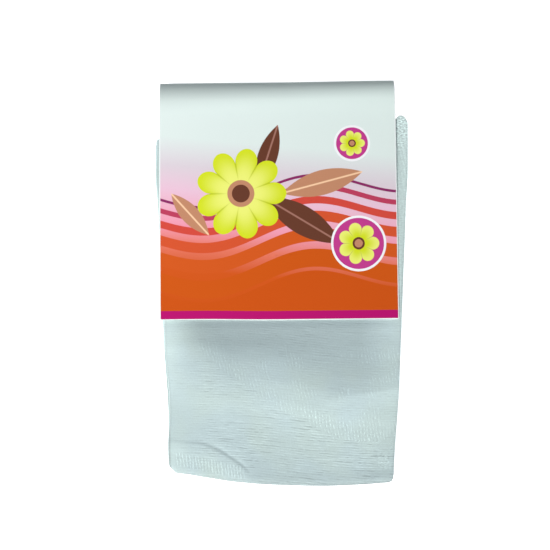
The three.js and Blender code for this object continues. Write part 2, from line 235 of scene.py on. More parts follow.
@dataclass
class ClothShape:
    """The outline and relief of the whole folded stack, which every layer follows.

    Lengths are in millimetres. Shares across run from -1 at the left side to 1 at the right,
    and shares along from 0 at the foot to 1 at the top.

    Attributes:
        board: the card's thickness.
        wall: the height that one layer of knit takes.
        gap: the room between two layers.
        layers: how many layers lie on each other.
        card_turn: how far the card is turned to the left.
        card_shift: how far it is moved to the right.
        swell_rise: the height of the swell below the card.
        swell_end: the share along at which the swell has sunk, just under the card's edge.
        left_spread: how much further left the swell reaches near the card, as a share across.
        left_raise: how much higher up the swell sinks at the left, as a share along.
        right_lower: how much lower down it sinks at the right.
        card_bow: the height of the stack's slight arch under the card.
        ridge_rise: the height of the slanting ridge at the right.
        ridge_place: the shares across and along of a point on it.
        ridge_slope: how many shares along it climbs in one share across.
        ridge_widths: how far it reaches downwards and upwards.
        corner_drop: how far the lower right corner drops past its fine crease.
        corner_width: the length over which it drops.
        corner_half: the share of the half width that the cloth reaches beside the corner.
        crease_drop: how far the cloth drops below the curved crease.
        crease_depth: the depth of the valley along that crease.
        hem_sink: how far the thin left side sinks.
        step_length: the length over which the cloth steps up onto the card's back panel.
        sides: the half widths at shares along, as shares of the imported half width.
        ends: how far the foot and the top lie inside the box, as shares of the length.
        notch: how deep the top is cut in beside the right fold's free tip.
        swell: the profiles of the swell and of the arch along the pack.
        pillow: the swell's profile across the pack.
        crease: where the curved crease lies.
    """

    board: float = 0.5
    wall: float = 1.0
    gap: float = 0.3
    layers: int = 8
    card_turn: float = math.radians(0.6)
    card_shift: float = -1.3
    swell_rise: float = 5.6
    swell_end: float = 0.446
    left_spread: float = 0.13
    left_raise: float = 0.014
    right_lower: float = 0.040
    card_bow: float = 0.7
    ridge_rise: float = 0.68
    ridge_place: tuple[float, float] = (0.41, 0.242)
    ridge_slope: float = 0.046
    ridge_widths: tuple[float, float] = (13.0, 16.0)
    corner_drop: float = 0.8
    corner_width: float = 12.0
    corner_half: float = 0.91
    crease_drop: float = 1.5
    crease_depth: float = 0.20
    hem_sink: float = 2.6
    step_length: float = 12.0
    sides: Table = field(default_factory=lambda: Table(
        ("along", "left", "right"),
        (
            (0.00, 0.863, 0.881), (0.06, 0.867, 0.886), (0.14, 0.878, 0.899), (0.22, 0.885, 0.913),
            (0.31, 0.903, 0.929), (0.39, 0.921, 0.942), (0.45, 0.932, 0.952), (0.56, 0.948, 0.966),
            (0.67, 0.964, 0.981), (0.76, 0.976, 0.992), (0.85, 0.997, 1.008), (1.00, 1.000, 1.012),
        ),
    ))
    ends: Table = field(default_factory=lambda: Table(
        ("across", "foot", "top"),
        (
            (-1.000, 0.053, 0.062), (-0.940, 0.0375, 0.048), (-0.840, 0.034, 0.044),
            (-0.630, 0.024, 0.04), (-0.400, 0.0145, 0.034), (0.000, 0.007, 0.03),
            (0.370, 0.0045, 0.028), (0.700, 0.008, 0.032), (0.860, 0.0115, 0.028),
            (0.904, 0.013, 0.02), (0.912, 0.0133, 0.009), (0.925, 0.0139, 0.002),
            (0.945, 0.0149, -0.003), (0.965, 0.0159, -0.003), (0.980, 0.017, -0.001),
            (0.992, 0.0182, 0.003), (1.000, 0.0195, 0.007), (1.013, 0.0265, 0.017),
        ),
    ))
    notch: Table = field(default_factory=lambda: Table(
        ("across", "depth"),
        ((0.866, 0.0), (0.880, 0.075), (0.890, 0.135), (0.897, 0.120), (0.904, 0.0)),
    ))
    swell: Table = field(default_factory=lambda: Table(
        ("along", "swell", "bow"),
        (
            (0.000, 0, 0.0), (0.030, 0.03, 0.0), (0.076, 0.07, 0.0), (0.140, 0.21, 0.0),
            (0.194, 0.46, 0.0), (0.250, 0.84, 0.0), (0.300, 1, 0.0), (0.330, 0.965, 0.0),
            (0.355, 0.875, 0.0), (0.391, 0.64, 0.0), (0.430, 0.31, 0.1), (0.449, 0.07, 0.2),
            (0.458, 0, 0.3), (0.620, 0, 0.9), (0.760, 0, 1.0), (0.900, 0, 0.5),
            (1.000, 0, 0.0),
        ),
    ))
    pillow: Table = field(default_factory=lambda: Table(
        ("across", "share"),
        (
            (-1.00, 0.05), (-0.94, 0.22), (-0.84, 0.46), (-0.73, 0.69), (-0.58, 0.91),
            (-0.44, 1.00), (0.60, 1.00), (0.74, 0.95), (0.87, 0.83), (1.00, 0.62),
        ),
    ))
    crease: Table = field(default_factory=lambda: Table(
        ("across", "along"),
        (
            (-1.00, 0.130), (-0.84, 0.128), (-0.72, 0.125), (-0.58, 0.111), (-0.44, 0.086),
            (-0.33, 0.062), (-0.26, 0.036), (-0.20, -0.030),
        ),
    ))

    def __post_init__(self) -> None:
        """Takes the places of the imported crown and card."""
        crown_low, crown_high = box_mm("crown_panel")
        card_low, card_high = box_mm("header_card")
        self.foot_y = crown_low.y
        self.length = crown_high.y - crown_low.y
        self.half_width = crown_high.x
        self.card_low, self.card_high = card_low, card_high
        self.pitch = self.wall + self.gap
        self.stack = self.layers * self.pitch - self.gap
        self.pair = 2 * self.wall + self.gap
        self.seat = self.board + self.gap
        self.foot_radius = self.stack / 2
        half_card = (card_high.x - card_low.x) / 2
        self.card_edge_y = card_low.y + half_card * math.sin(self.card_turn)

    def span(self, across: np.ndarray) -> tuple[np.ndarray, np.ndarray]:
        """Where the cloth begins and ends.

        Args:
            across: shares across the cloth.

        Returns:
            The places along the pack at which the foot's fold starts and the top lies.
        """
        foot = self.foot_y + self.foot_radius + self.ends.read("foot", across) * self.length
        top = self.foot_y + self.length * (1 - self.ends.read("top", across))
        return foot, top

    def line(self, across: np.ndarray, along: np.ndarray) -> np.ndarray:
        """How far up the pack a share of the way from the foot's fold to the top lies.

        The notch between the right fold's free tip and the rest only reaches the upper part.

        Args:
            across: shares across the cloth.
            along: shares of the way.

        Returns:
            The places along the pack.
        """
        foot, top = self.span(across)
        notch = self.notch.read("depth", across) * self.length * smooth(along, 0.72, 1.0)
        return foot + (top - foot) * along - notch

    def half_at(self, across: np.ndarray, along: np.ndarray) -> np.ndarray:
        """The half width on the side that a share across lies on, at a share above the foot."""
        left, right = self.sides.read("left", along), self.sides.read("right", along)
        return self.half_width * np.where(across < 0, left, right)

    def relief(self, across: np.ndarray, y: np.ndarray) -> np.ndarray:
        """How far the pack's front stands above an even stack.

        Args:
            across: the share across the cloth, from -1 at its left side to 1 at its right.
            y: the place along the pack.

        Returns:
            The height of the pillow below the card, its ridge, crease and thin left side.
        """
        along = (y - self.foot_y) / self.length
        below = self.foot_y + self.crease.read("along", across) * self.length - y
        lift = self.swelling(across, along) + self.bow(across, along) + self.ridge(across, y)
        lift -= self.corner(across, y) * smooth(along, 0.02, 0.06)
        lift -= self.crease_depth * self.valley(across, below)
        lift -= self.crease_drop * smooth(below, 1.5, 20.0)
        sink = self.hem_sink * (0.45 + 0.55 * smooth(along, 0.2, 0.36))
        return lift - sink * np.clip((-across - 0.68) / 0.32, 0, 1) ** 1.5

    def swelling(self, across: np.ndarray, along: np.ndarray) -> np.ndarray:
        """The swell below the card, which sinks higher up at the left and lower down at the right.

        Args:
            across: shares across the cloth.
            along: shares along it.

        Returns:
            The swell's height.
        """
        spread = self.left_spread * smooth(along, 0.34, 0.44) * smooth(-across, 0.2, 0.5)
        pillow = self.pillow.read("share", across + spread)
        before = self.swell_end - along
        raised = self.left_raise * smooth(-across, 0.42, 0.75) * smooth(before, 0.0, 0.08)
        lowered = self.right_lower * smooth(across, -0.2, 0.6) * smooth(before, 0.0, 0.14)
        lowered *= smooth(along, 0.0, 0.1)
        return self.swell_rise * self.swell.read("swell", along - raised + lowered) * pillow

    def bow(self, across: np.ndarray, along: np.ndarray) -> np.ndarray:
        """The slight arch of the stack under the card, which the card follows."""
        return self.card_bow * self.swell.read("bow", along) * (1 - 0.6 * np.abs(across) ** 3)

    def ridge(self, across: np.ndarray, y: np.ndarray) -> np.ndarray:
        """The slanting ridge at the right, crisp on top and with a long slope on each side.

        Args:
            across: shares across the cloth.
            y: places along the pack.

        Returns:
            The ridge's height.
        """
        ridge_across, ridge_along = self.ridge_place
        down, up = self.ridge_widths
        crest = self.foot_y + (ridge_along + self.ridge_slope * (across - ridge_across)) * self.length
        over = y - crest
        share = np.where(over > 0, crisp(over, up), crisp(-over, down))
        return self.ridge_rise * smooth(across, 0.3, 0.5) * share

    def corner(self, across: np.ndarray, y: np.ndarray) -> np.ndarray:
        """How far the lower right corner drops past its fine crease."""
        past = past_corner(across * self.half_width * self.corner_half, y)
        return self.corner_drop * (1 - crisp(np.maximum(past, 0.0), self.corner_width))

    def valley(self, across: np.ndarray, below: np.ndarray) -> np.ndarray:
        """The shape of the valley along the curved crease.

        Args:
            across: shares across the cloth.
            below: how far below the crease a place lies.

        Returns:
            A broad dip, and a fine one in it that fades out towards the left side.
        """
        broad = 0.6 * lopsided(below, 4.5, 0.8)
        fine = smooth(-across, 0.78, 0.52) * lopsided(below, 1.6, 0.9)
        return smooth(-across, 0.22, 0.36) * (broad + fine)

    def lift_share(self, height: np.ndarray) -> np.ndarray:
        """The share of the relief that a layer at a height in the stack takes."""
        return np.clip((height - self.pair) / (self.stack - 2 * self.pair), 0, 1)

    def seat_height(self, y: np.ndarray) -> np.ndarray:
        """The surface under the stack: the card's back panel, and the floor beyond it."""
        return self.seat * smooth(y, self.card_edge_y - self.step_length, self.card_edge_y - 1.0)

    def place(
        self, across: np.ndarray, dx: np.ndarray, along: np.ndarray, dy: np.ndarray, height: np.ndarray
    ) -> np.ndarray:
        """Puts points of the flat stack where the folded cloth has them.

        Args:
            across: shares across the cloth.
            dx: lengths to the right of them.
            along: shares from the foot's fold to the top.
            dy: lengths past them.
            height: heights in the even stack.

        Returns:
            The points, with x, y and z last, in millimetres.
        """
        y = self.line(across, along) + dy
        share = (y - self.foot_y) / self.length
        x = across * self.half_at(across, share) + dx
        z = self.seat_height(y) + height + self.relief(across, y) * self.lift_share(height)
        return np.stack(np.broadcast_arrays(x, y, np.maximum(z, 0.0)), axis=-1)


@dataclass
class SheetMesh:
    """A thin sheet with two faces and rounded cut edges, built from grids of points.

    Attributes:
        name: the object's name.
        outer: the outer face's points in rows and columns, in millimetres.
        inner: the inner face's points.
        flat: what the finish reads at each place: the place on the flat sheet and one more number.
        rim: how far the rounded cut edge reaches past the sheet.
    """

    name: str
    outer: np.ndarray
    inner: np.ndarray
    flat: np.ndarray
    rim: float

    def ring(self) -> tuple[np.ndarray, np.ndarray]:
        """Goes once round the sheet.

        Returns:
            The grid places on the edge, in order, and the places next to them inside.
        """
        rows, columns = self.outer.shape[:2]
        top = [((0, c), (1, c)) for c in range(columns)]
        right = [((r, columns - 1), (r, columns - 2)) for r in range(1, rows)]
        bottom = [((rows - 1, c), (rows - 2, c)) for c in range(columns - 2, -1, -1)]
        left = [((r, 0), (r, 1)) for r in range(rows - 2, 0, -1)]
        pairs = top + right + bottom + left
        return np.array([edge for edge, _ in pairs]), np.array([inside for _, inside in pairs])

    def build(self) -> bpy.types.Object:
        """Makes the mesh object.

        Returns:
            The linked object, with the attributes flat_mm and pack_mm for its finish.
        """
        rows, columns = self.outer.shape[:2]
        count = rows * columns
        edge, inside = self.ring()
        pick = lambda grid, at: grid[at[:, 0], at[:, 1]]
        middle = (self.outer + self.inner) / 2
        away = pick(middle, edge) - pick(middle, inside)
        away /= np.linalg.norm(away, axis=1, keepdims=True)
        rim_points = pick(middle, edge) + away * self.rim
        points = np.concatenate([self.outer.reshape(-1, 3), self.inner.reshape(-1, 3), rim_points])
        flats = np.concatenate([self.flat.reshape(-1, 3), self.flat.reshape(-1, 3), pick(self.flat, edge)])
        index = np.arange(count).reshape(rows, columns)
        corners = (index[:-1, :-1], index[:-1, 1:], index[1:, 1:], index[1:, :-1])
        quads = np.stack(corners, axis=-1).reshape(-1, 4)
        under = quads[:, ::-1] + count
        loop = index[edge[:, 0], edge[:, 1]]
        rim = 2 * count + np.arange(len(loop))
        following = lambda ids: np.roll(ids, -1)
        upper = np.stack([loop, rim, following(rim), following(loop)], axis=-1)
        lower = np.stack([rim, loop + count, following(loop) + count, following(rim)], axis=-1)
        faces = np.concatenate([quads, under, upper, lower])
        mesh = bpy.data.meshes.new(self.name)
        mesh.from_pydata((points * MM).tolist(), [], faces.tolist())
        mesh.polygons.foreach_set("use_smooth", np.ones(len(mesh.polygons), bool))
        places = np.concatenate([middle.reshape(-1, 3), middle.reshape(-1, 3), pick(middle, edge)])
        for name, values in (("flat_mm", flats), ("pack_mm", places)):
            attribute = mesh.attributes.new(name, "FLOAT_VECTOR", "POINT")
            attribute.data.foreach_set("vector", values.astype(np.float32).ravel())
        mesh.validate()
        made = bpy.data.objects.new(self.name, mesh)
        bpy.context.scene.collection.objects.link(made)
        return made


class Wire:
    """A shader value whose operators add Math nodes."""

    def __init__(self, kit: "FinishKit", socket: bpy.types.NodeSocket) -> None:
        """Keeps the finish that the socket belongs to."""
        self.kit = kit
        self.socket = socket

    def math(self, operation: str, *others: "Wire | float", clamp: bool = False) -> "Wire":
        """One Math node on this value.

        Args:
            operation: the node's operation.
            others: its further inputs.
            clamp: whether the result is held from 0 to 1.

        Returns:
            The node's result.
        """
        settings = {"operation": operation, "use_clamp": clamp}
        return self.kit.node("Math", settings, {i: v for i, v in enumerate((self, *others))})

    def __add__(self, other: "Wire | float") -> "Wire":
        """The sum."""
        return self.math("ADD", other)

    __radd__ = __add__

    def __sub__(self, other: "Wire | float") -> "Wire":
        """The difference."""
        return self.math("SUBTRACT", other)

    def __rsub__(self, other: float) -> "Wire":
        """A number less this value."""
        return self.kit.node("Math", {"operation": "SUBTRACT"}, {0: other, 1: self})

    def __mul__(self, other: "Wire | float") -> "Wire":
        """The product."""
        return self.math("MULTIPLY", other)

    __rmul__ = __mul__

    def __truediv__(self, other: "Wire | float") -> "Wire":
        """The quotient."""
        return self.math("DIVIDE", other)

    def __pow__(self, other: float) -> "Wire":
        """A power."""
        return self.math("POWER", other)

    def rise(self, low: "Wire | float", high: "Wire | float") -> "Wire":
        """Rises smoothly from 0 where the value is low to 1 where it is high."""
        inputs = {"Value": self, "From Min": low, "From Max": high}
        return self.kit.node("MapRange", {"interpolation_type": "SMOOTHSTEP"}, inputs)

    def wave(self, pitch: float) -> "Wire":
        """A cosine from 0 to 1 that repeats every pitch."""
        return (self * (2 * math.pi / pitch)).math("COSINE") * 0.5 + 0.5


class FinishKit:
    """One node material and the few ways in which its nodes are made."""

    def __init__(self, name: str) -> None:
        """Starts an empty node material."""
        self.material = bpy.data.materials.new(name)
        self.material.use_nodes = True
        self.tree = self.material.node_tree
        self.tree.nodes.clear()

    def node(
        self,
        kind: str,
        settings: dict[str, object] | None = None,
        inputs: dict[str | int, object] | None = None,
        output: str | int = 0,
    ) -> Wire:
        """Adds a node.

        Args:
            kind: the node's type, without its prefix.
            settings: what is set on the node before its sockets, with a ramp's stops as stops.
            inputs: values or links by socket name or number.
            output: the output wanted.

        Returns:
            That output.
        """
        made = self.tree.nodes.new("ShaderNode" + kind)
        for key, value in (settings or {}).items():
            if key == "stops":
                self.set_stops(made.color_ramp, value)
            else:
                setattr(made, key, value)
        for key, value in (inputs or {}).items():
            if isinstance(value, Wire):
                self.tree.links.new(value.socket, made.inputs[key])
            else:
                made.inputs[key].default_value = value
        return Wire(self, made.outputs[output])

    @staticmethod
    def set_stops(ramp: bpy.types.ColorRamp, stops: Sequence[tuple[float, Colour]]) -> None:
        """Gives a colour ramp its stops.

        Args:
            ramp: the ramp of a new node.
            stops: the place and the linear colour of each stop, in rising order.
        """
        while len(ramp.elements) < len(stops):
            ramp.elements.new(1.0)
        for element, (place, colour) in zip(ramp.elements, stops):
            element.position = place
            element.color = (*colour, 1.0)

    def mix(self, share: Wire | float, low: object, high: object, blend: str = "MIX") -> Wire:
        """Mixes two colours.

        Args:
            share: how much of the second one there is.
            low: the first colour, a wire or three linear numbers.
            high: the second colour.
            blend: the way of mixing.

        Returns:
            The mixed colour.
        """
        colour = lambda value: value if isinstance(value, Wire) else (*value, 1.0)
        settings = {"data_type": "RGBA", "blend_type": blend, "clamp_factor": True}
        return self.node("Mix", settings, {0: share, 6: colour(low), 7: colour(high)}, 2)

    def noise(self, vector: Wire, scale: float, detail: float = 2.0, roughness: float = 0.5) -> Wire:
        """Noise from 0 to 1 over a vector."""
        inputs = {"Vector": vector, "Scale": scale, "Detail": detail, "Roughness": roughness}
        return self.node("TexNoise", {"noise_dimensions": "3D"}, inputs, "Fac")

    def blotches(
        self, x: Wire, y: Wire, layer: float = 0.0, detail: float = 2.0, roughness: float = 0.5
    ) -> Wire:
        """Noise from 0 to 1 over two numbers, another pattern for each layer."""
        return self.noise(self.combine(x, y, layer), 1.0, detail, roughness)

    def bump(self, height: Wire, depth: float, strength: float) -> Wire:
        """A bumped normal, with the depth of a height of 1 in millimetres."""
        return self.node("Bump", None, {"Height": height, "Distance": depth * MM, "Strength": strength})

    def toned(self, colour: Wire, tone: Wire) -> Wire:
        """A colour made lighter or darker by a factor."""
        grey = self.combine(tone, tone, tone)
        return self.node("VectorMath", {"operation": "MULTIPLY"}, {0: colour, 1: grey})

    def place(self, attribute: str = "flat_mm") -> tuple[Wire, Wire, Wire, Wire]:
        """Coordinates in millimetres, of the flat sheet or of the pack.

        Args:
            attribute: the mesh attribute that has them.

        Returns:
            The vector and its three numbers.
        """
        vector = self.node("Attribute", {"attribute_name": attribute}, None, "Vector")
        split = lambda axis: self.node("SeparateXYZ", None, {"Vector": vector}, axis)
        return vector, split("X"), split("Y"), split("Z")

    def combine(self, x: Wire | float, y: Wire | float, z: Wire | float = 0.0) -> Wire:
        """A vector from three numbers."""
        return self.node("CombineXYZ", None, {"X": x, "Y": y, "Z": z})

    def surface(self, **sockets: object) -> bpy.types.Material:
        """Ends the material in a Principled shader.

        Args:
            sockets: its inputs, with underscores for the spaces in their names.

        Returns:
            The finished material.
        """
        inputs = {key.replace("_", " "): value for key, value in sockets.items()}
        shader = self.node("BsdfPrincipled", None, inputs, "BSDF")
        self.node_output(shader)
        return self.material

    def node_output(self, shader: Wire) -> None:
        """Links a shader to the material's output."""
        end = self.tree.nodes.new("ShaderNodeOutputMaterial")
        self.tree.links.new(shader.socket, end.inputs["Surface"])


def seen(red: int, green: int, blue: int) -> Colour:
    """The linear colour that a surface needs to look like a screen colour under the studio's light."""
    straight = lambda c: c / 12.92 if c <= 0.04045 else ((c + 0.055) / 1.055) ** 2.4
    return tuple(straight(c / 255) / LIGHT_LEVEL for c in (red, green, blue))


@dataclass(frozen=True)
class Shade:
    """A soft patch of painted light or painted shade on the knit of the pack.

    Attributes:
        gain: how much painted light it adds there, or painted shade when it is less than 0.
        across: smooth rises over the place across the pack, from 0 at the first number of each
            to 1 at its second.
        along: smooth rises over the place along the pack.
    """

    gain: float
    across: Rises = ()
    along: Rises = ()

    def on(self, x: Wire, y: Wire) -> Wire:
        """Works the patch out.

        Args:
            x: the place across the pack, in millimetres.
            y: the place along it.

        Returns:
            The gain in the patch's middle and 0 outside it.
        """
        share = self.gain
        for place, rises in ((x, self.across), (y, self.along)):
            for low, high in rises:
                share = place.rise(low, high) * share
        return share


KNIT_SHADES = (
    # Painted light on the thin left margin, more so above the foot and lower down at the left.
    Shade(0.06, across=((-48.0, -66.0),)),
    Shade(0.05, across=((-48.0, -66.0),), along=((-78.0, -60.0),)),
    Shade(0.06, across=((-52.0, -60.0),), along=((-91.5, -94.5), (-103.0, -98.0))),
    # Painted light on the swell's right side, on the slope above the ridge and on the left of the slope.
    Shade(0.13, across=((44.0, 62.0),), along=((-78.0, -60.0), (-14.0, -24.0))),
    Shade(0.035, across=((28.0, 42.0),), along=((-70.0, -65.0), (-48.0, -54.0))),
    Shade(0.04, across=((12.0, -8.0), (-56.0, -46.0)), along=((-60.0, -50.0), (-35.0, -40.0))),
    # Painted shade on the foot.
    Shade(-0.08, across=((-42.0, -12.0),), along=((-107.0, -119.0),)),
    # Painted shade on the slope towards the card and on the line below the card's edge, and painted light
    # that evens out the card's own shadow.
    Shade(-0.05, across=((-62.0, -46.0), (60.0, 44.0)), along=((-52.0, -34.0),)),
    Shade(-0.04, across=((-62.0, -40.0),), along=((-34.0, -31.0), (-27.0, -29.0))),
    Shade(0.10, along=((-26.8, -23.6), (-12.0, -18.0))),
    # Painted light on the side of the right fold beside the card.
    Shade(0.13, across=((70.5, 74.0),), along=((-20.0, 0.0),)),
)


@dataclass(frozen=True)
class KnitFinish:
    """Fine warp knit in pale mint white, with cross ribs and a soft sheen.

    Attributes:
        name: the material's name.
        colour: the yarn's linear colour.
        rib_pitch: the length from one cross rib to the next, in millimetres.
        wale_pitch: the width of one column of loops.
        dash_pitch: the width of the fine dashes where two layers show through each other.
        base_tone: how light the knit is between its ribs, dashes and shades.
        rib_contrast: how much the ribs lighten the yarn.
        right_contrast: how much more they do everywhere but at the left side.
        dash_contrast: how much the dashes lighten it.
        cloud_contrast: how much broad soft clouds do.
        fuzz_contrast: how much the fine fuzz does.
        crumple_contrast: how strong the painted light and shade of the crumples are.
        hem_shade: how much painted shade darkens the hems.
        fold_shade: how much painted shade darkens the foot's fold.
    """

    name: str
    colour: Colour
    rib_pitch: float = 1.45
    wale_pitch: float = 0.86
    dash_pitch: float = 2.1
    base_tone: float = 0.995
    rib_contrast: float = 0.36
    right_contrast: float = 0.10
    dash_contrast: float = 0.30
    cloud_contrast: float = 0.07
    fuzz_contrast: float = 0.24
    crumple_contrast: float = 2.9
    hem_shade: float = 0.08
    fold_shade: float = 0.50

    def make(self) -> bpy.types.Material:
        """Builds the knit's material.

        Returns:
            The finished material.
        """
        kit = FinishKit(self.name)
        vector, u, v, turned = kit.place()
        _, x, y, _ = kit.place("pack_mm")
        above = self.above_slant(kit, x, y)
        moire = self.moire(kit, x, y, above)
        # The ribs are weaker above the slanting edge and where the strokes cross them.
        calm = (above.rise(-1.0, 3.0) * 0.5 + moire * 0.45) * x.rise(-58.0, -46.0)
        ribs = self.ribs(kit, u, v, x, calm)
        strokes = self.strokes(kit, u, v, y) * moire
        column = u + (kit.blotches(u * 0.3, v * 0.08) - 0.5) * 0.5
        loops = column.wave(self.wale_pitch)
        cloud = kit.blotches(u * 0.022, v * 0.022, 1.7, 3.0) - 0.5
        fuzz = kit.noise(vector, 1.1, 2.0, 0.6) - 0.5
        tone = self.base_tone + ribs * (self.rib_contrast + self.right_contrast * x.rise(-38.0, -8.0))
        tone += strokes * self.dash_contrast + cloud * self.cloud_contrast + fuzz * self.fuzz_contrast
        # Painted light and shade: soft patches, darker hems, fold and corner, and crumples.
        tone += self.shades(x, y) - self.painted_edge_shade(u, x, y, turned) + self.painted_crumple_shade(kit, u, v, x, y)
        height = ribs * 0.9 + loops * 0.15 + strokes * 0.7 + fuzz * 0.6
        return kit.surface(
            Base_Color=kit.toned(self.yarn(kit, u, v, x, y), tone), Roughness=0.86,
            Normal=kit.bump(height, 0.12, 0.55), Sheen_Weight=0.12, Sheen_Roughness=0.45,
            Specular_IOR_Level=0.25,
        )

    def shades(self, x: Wire, y: Wire) -> Wire:
        """Adds up the patches of painted light and shade, and a painted light line along the right fold
        that evens out the card's shadow there.

        Args:
            x: the place across the pack.
            y: the place along it.

        Returns:
            How much painted light is added, and less than 0 where painted shade is.
        """
        # Painted light along the card's edge on the right fold, which evens out the card's shadow.
        painted_fold_light = (x + y * 0.02 - 69.9).math("ABSOLUTE").rise(1.3, 0.3)
        tone = painted_fold_light * y.rise(-20.0, 0.0) * 0.14
        for shade in KNIT_SHADES:
            tone += shade.on(x, y)
        return tone

    def painted_edge_shade(self, u: Wire, x: Wire, y: Wire, turned: Wire) -> Wire:
        """Painted shade on the hems, in the foot's fold and past the lower right corner's crease.

        Args:
            u: the place across the flat cloth.
            x: the place across the pack.
            y: the place along it.
            turned: how far the cloth faces away from the front in the foot's fold.

        Returns:
            How much the painted shade darkens the knit.
        """
        # Painted shade along the hems, most at the lower left, past the corner's crease, and where the
        # cloth turns down in the foot's fold.
        hems = u.rise(1.9, 0.7) * (self.hem_shade + 0.2 * y.rise(-84.0, -94.0))
        past = past_corner(x, y)
        corner = past.rise(-0.8, 1.6) * past.rise(24.0, 10.0) * y.rise(-112.0, -104.0)
        fold = turned * (self.fold_shade + 0.06 * x.rise(-10.0, 40.0))
        return hems + corner * x.rise(20.0, 40.0) * 0.065 + fold

    def painted_crumple_shade(self, kit: FinishKit, u: Wire, v: Wire, x: Wire, y: Wire) -> Wire:
        """Painted light and shade of fine creases at the right fold's free tip and of a dimple in the lower
        right corner.

        Args:
            kit: the finish being made.
            u: the place across the flat cloth.
            v: the place along it.
            x: the place across the pack.
            y: the place along it.

        Returns:
            How much painted light is added, and less than 0 where painted shade is.
        """
        tip = x.rise(63.0, 67.0) * (y.rise(72.0, 92.0) * 0.8 + y.rise(-20.0, 10.0) * 0.2)
        across, along = ((55.0, 58.5), (65.5, 62.5)), ((-110.5, -107.0), (-98.5, -102.0))
        crumpled = tip.math("MAXIMUM", Shade(0.4, across, along).on(x, y))
        return (kit.blotches(u * 0.6, v * 1.5, 8.0) - 0.46) * crumpled * self.crumple_contrast

    def yarn(self, kit: FinishKit, u: Wire, v: Wire, x: Wire, y: Wire) -> Wire:
        """The yarn's colour, greener in some clouds and cooler in others, with a painted cool shade tint on
        the swell below the card and at the foot.

        Args:
            kit: the finish being made.
            u: the place across the flat cloth.
            v: the place along it.
            x: the place across the pack.
            y: the place along it.

        Returns:
            The colour before its ribs and shades.
        """
        cool, green = self.tint(0.985, 1.0, 1.025), self.tint(1.0, 1.006, 0.985)
        chill = kit.blotches(u * 0.03, v * 0.03, 9.1).rise(0.35, 0.65)
        # Painted shade: the swell below the card and the foot are tinted cooler, as shade is.
        swell = y.rise(-62.0, -42.0) * x.rise(-62.0, -30.0) * x.rise(66.0, 54.0) * 0.9
        foot = y.rise(-106.0, -118.0) * x.rise(-36.0, -6.0) * 0.8
        chill = chill.math("MAXIMUM", swell).math("MAXIMUM", foot)
        chill *= 1 - 1.3 * x.rise(58.0, 66.0) * y.rise(-30.0, -10.0)
        return kit.mix(chill, green, cool)

    def ribs(self, kit: FinishKit, u: Wire, v: Wire, x: Wire, calm: Wire) -> Wire:
        """The cross ribs, which waver and fade in and out along the cloth.

        Args:
            kit: the finish being made.
            u: the place across the flat cloth.
            v: the place along it.
            x: the place across the pack.
            calm: how far the ribs are weakened.

        Returns:
            The ribs' height about 0.
        """
        # The courses run lower towards the right side and waver on their way.
        sag = u.rise(20.0, 150.0) * 7.5
        drift = kit.blotches(u * 0.012, v * 0.03) - 0.5
        waver = kit.blotches(u * 0.07, v * 0.25) - 0.5
        course = v + sag + drift * 3.2 + waver * 1.1
        ribs = course.wave(self.rib_pitch)
        streaks = kit.blotches(u * 0.19, course * 0.62, 0.0, 1.0).rise(0.42, 0.58)
        regions = kit.blotches(u * 0.035, v * 0.05, 4.0).rise(0.3, 0.65)
        margin = x.rise(-54.0, -42.0)
        strength = (0.08 + 0.92 * streaks) * (0.4 + 0.6 * regions) * (0.4 + 0.6 * margin) * (1 - calm)
        uneven = kit.blotches(u * 0.06, course * 0.7, 2.0, 1.0) - 0.5
        return (ribs * 0.9 - 0.42 + uneven * 1.9).math("MINIMUM", 0.34).math("MAXIMUM", -0.6) * strength

    def strokes(self, kit: FinishKit, u: Wire, v: Wire, y: Wire) -> Wire:
        """Short steep bright strokes, broken up unevenly, and upright near the foot.

        Args:
            kit: the finish being made.
            u: the place across the flat cloth.
            v: the place along it.
            y: the place along the pack.

        Returns:
            The strokes' height.
        """
        foot = y.rise(-92.0, -98.0)
        wander = (kit.blotches(u * 0.25, v * 0.15, 3.1) - 0.5) * (3.4 - foot * 1.2)
        wander += (kit.blotches(u * 0.5, v * 0.8, 6.2) - 0.5) * foot * 1.3
        lean = u + v * (0.22 - foot * 0.14) + wander
        faint, full = 0.44 - foot * 0.08, 0.60 - foot * 0.04
        broken = kit.blotches(u * 0.6, v * 0.75, 5.0, 1.0).rise(faint, full)
        return (lean.wave(self.dash_pitch) ** 2.2 - 0.25) * broken

    def above_slant(self, kit: FinishKit, x: Wire, y: Wire) -> Wire:
        """How far above the slanting lower edge of the swell a place lies, in millimetres."""
        wander = (kit.blotches(x * 0.07, y * 0.07, 6.0, 4.0, 0.6) - 0.5) * 14.0
        return y - x * x * 0.0033 + x * 0.56 + 74.5 + wander

    def moire(self, kit: FinishKit, x: Wire, y: Wire, above: Wire) -> Wire:
        """Where two layers' ribs cross: over the slanting edge, at the foot and in stray patches.

        Args:
            kit: the finish being made.
            x: the place across the pack.
            y: the place along it.
            above: the place above the slanting edge.

        Returns:
            How strong the crossing strokes are, about 1 at most.
        """
        gaps = kit.blotches(x * 0.11, y * 0.11, 2.2).rise(0.32, 0.52)
        belt = above.rise(-1.5, 1.5) * above.rise(19.0, 3.0) * x.rise(-56.0, -42.0)
        belt *= gaps * (0.85 + 0.55 * x.rise(0.0, 25.0))
        foot = (y + x * 0.2 + 115.5).math("ABSOLUTE").rise(4.6, 3.0)
        foot *= x.rise(-63.0, -60.0) * x.rise(-19.0, -24.0)
        reach = x.rise(-22.0, -8.0) * y.rise(-34.0, -44.0) * above.rise(-3.0, 3.0)
        patches = kit.blotches(x * 0.05, y * 0.06, 7.3, 3.0).rise(0.50, 0.60) * reach
        tip = x.rise(63.0, 67.0) * y.rise(20.0, 75.0)
        return belt.math("MAXIMUM", foot * 1.25).math("MAXIMUM", patches * 0.9).math("MAXIMUM", tip)

